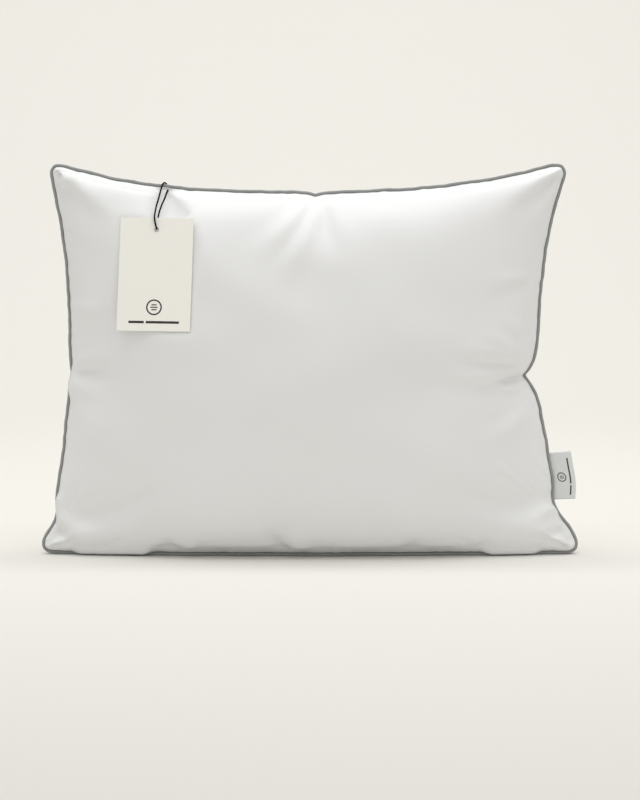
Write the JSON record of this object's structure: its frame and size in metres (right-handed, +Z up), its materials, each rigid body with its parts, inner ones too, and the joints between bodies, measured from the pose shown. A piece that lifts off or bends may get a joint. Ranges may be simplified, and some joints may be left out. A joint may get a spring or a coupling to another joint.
{
  "type": "bed pillow",
  "caption": "Rectangular bed pillow with a piped seam, fibre filling, swing tag on a string and a side label.",
  "frame": {"origin": "on the floor under the middle of the standing pillow", "axes": "+X along the width to the viewer's right, +Y from the front to the back, +Z up from the floor"},
  "size_m": [0.6686, 0.1854, 0.4851],
  "materials": {
    "front_cloth": "smooth white percale",
    "back_cloth": "smooth white percale",
    "piping_cloth": "dark grey bias strip",
    "filler_cord": "soft cotton cord",
    "needle_thread": "polyester thread",
    "bobbin_thread": "polyester thread",
    "overlock_thread": "textured thread",
    "fibre": "loose polyester fibre",
    "label_satin": "light grey satin ribbon",
    "tag_card": "matt cream card",
    "tag_string": "black cord"
  },
  "bodies": {
    "casing": {"front_panel": "front_cloth", "back_panel": "back_cloth", "piping_cover": "piping_cloth", "piping_cord": "filler_cord", "needle_thread": "needle_thread", "bobbin_thread": "bobbin_thread", "overlock_thread": "overlock_thread", "fibre_fill": "fibre"},
    "string": {"tag_string": "tag_string"},
    "tag": {"hang_tag": "tag_card"},
    "label": {"side_label": "label_satin"}
  },
  "joints": [
    {"name": "tag_lift", "type": "hinge", "parent": "casing", "child": "string", "pos_m": [-0.179, 0, 0.4566], "axis": [-0.9929, 0, 0.119], "range_deg": [0, 150], "deforming": ["tag_string"]},
    {"name": "tag_swing", "type": "hinge", "parent": "string", "child": "tag", "pos_m": [-0.187, -0.0454, 0.404], "axis": [-0.1351, -0.9614, 0.2397], "range_deg": [-25, 25]},
    {"name": "label_flex", "type": "hinge", "parent": "casing", "child": "label", "pos_m": [0.3013, -0.0022, 0.0958], "axis": [0.1471, -0.0594, -0.9873], "range_deg": [-100, 20], "stiffness_Nm_per_rad": 0.0005, "deforming": ["side_label"]}
  ]
}
